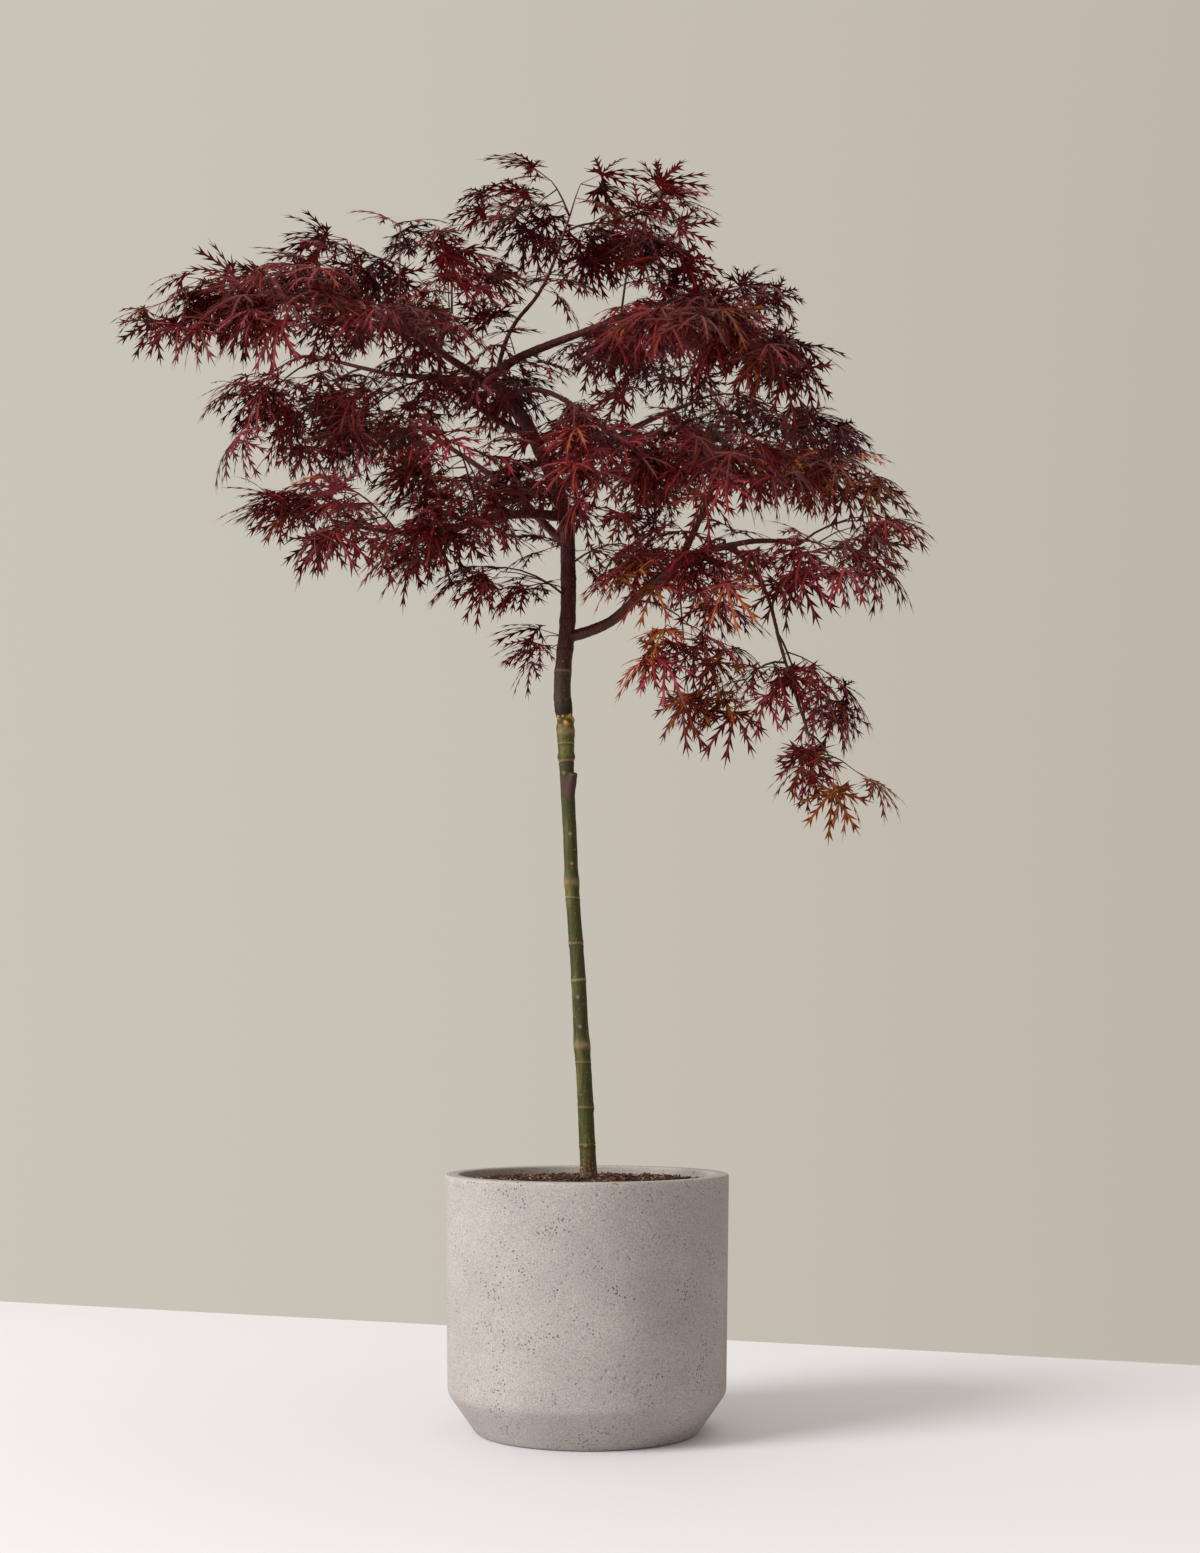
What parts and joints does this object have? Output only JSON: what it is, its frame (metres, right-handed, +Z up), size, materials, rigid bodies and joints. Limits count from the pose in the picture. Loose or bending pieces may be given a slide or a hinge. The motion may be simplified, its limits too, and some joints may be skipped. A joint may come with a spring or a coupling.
{
  "type": "potted maple",
  "caption": "Weeping lace-leaf maple grafted on a slim upright stem, with a wide drooping dark red crown, planted in a plain round concrete pot.",
  "frame": {"origin": "on the ground, at the middle of the pot's flat underside", "axes": "+Z up along the pot's axis and the stem; +X towards the side where the long tail of leaves hangs; -Y is the front"},
  "size_m": [0.8262, 0.5896, 1.2644],
  "materials": {
    "concrete": "fine sandy grey cast concrete with small pinholes, matt",
    "compost": "crumbly dark brown bark and coir compost",
    "green_bark": "smooth olive green young bark with ring scars and pale lenticels",
    "red_bark": "dark red-brown young bark, satin",
    "leaves": "thin finely cut burgundy leaves, satin"
  },
  "bodies": {
    "root": {"pot": "concrete", "compost": "compost", "rootstock": "green_bark", "scion": "red_bark", "limb_right_low": "red_bark", "limb_left_low": "red_bark", "limb_left_mid": "red_bark", "limb_left_top": "red_bark", "limb_crown": "red_bark", "limb_top": "red_bark", "limb_arch": "red_bark", "limb_back_left": "red_bark", "limb_back_right": "red_bark", "leaves_left_top_1": "leaves", "leaves_left_top_2": "leaves", "leaves_left_top_3": "leaves", "leaves_left_top_4": "leaves", "leaves_left_top_5": "leaves", "leaves_left_top_6": "leaves", "leaves_left_top_7": "leaves", "leaves_left_mid_rise_1": "leaves", "leaves_left_mid_1": "leaves", "leaves_left_mid_2": "leaves", "leaves_left_mid_3": "leaves", "leaves_left_mid_4": "leaves", "leaves_left_mid_5": "leaves", "leaves_left_low_reach_1": "leaves", "leaves_left_low_reach_2": "leaves", "leaves_left_low_reach_3": "leaves", "leaves_left_low_1": "leaves", "leaves_left_low_2": "leaves", "leaves_scion_1": "leaves", "leaves_scion_2": "leaves", "leaves_top_1": "leaves", "leaves_top_2": "leaves", "leaves_top_3": "leaves", "leaves_crown_1": "leaves", "leaves_crown_2": "leaves", "leaves_crown_3": "leaves", "leaves_crown_4": "leaves", "leaves_crown_5": "leaves", "leaves_crown_6": "leaves", "leaves_arch_1": "leaves", "leaves_arch_2": "leaves", "leaves_right_rise_1": "leaves", "leaves_right_rise_2": "leaves", "leaves_right_reach_1": "leaves", "leaves_right_reach_2": "leaves", "leaves_right_reach_3": "leaves", "leaves_right_low_1": "leaves", "leaves_right_low_2": "leaves", "leaves_tail_1": "leaves", "leaves_tail_2": "leaves", "leaves_tail_3": "leaves", "leaves_back_left_1": "leaves", "leaves_back_left_2": "leaves", "leaves_back_right_1": "leaves", "leaves_back_right_2": "leaves", "leaves_back_right_3": "leaves"}
  },
  "joints": []
}
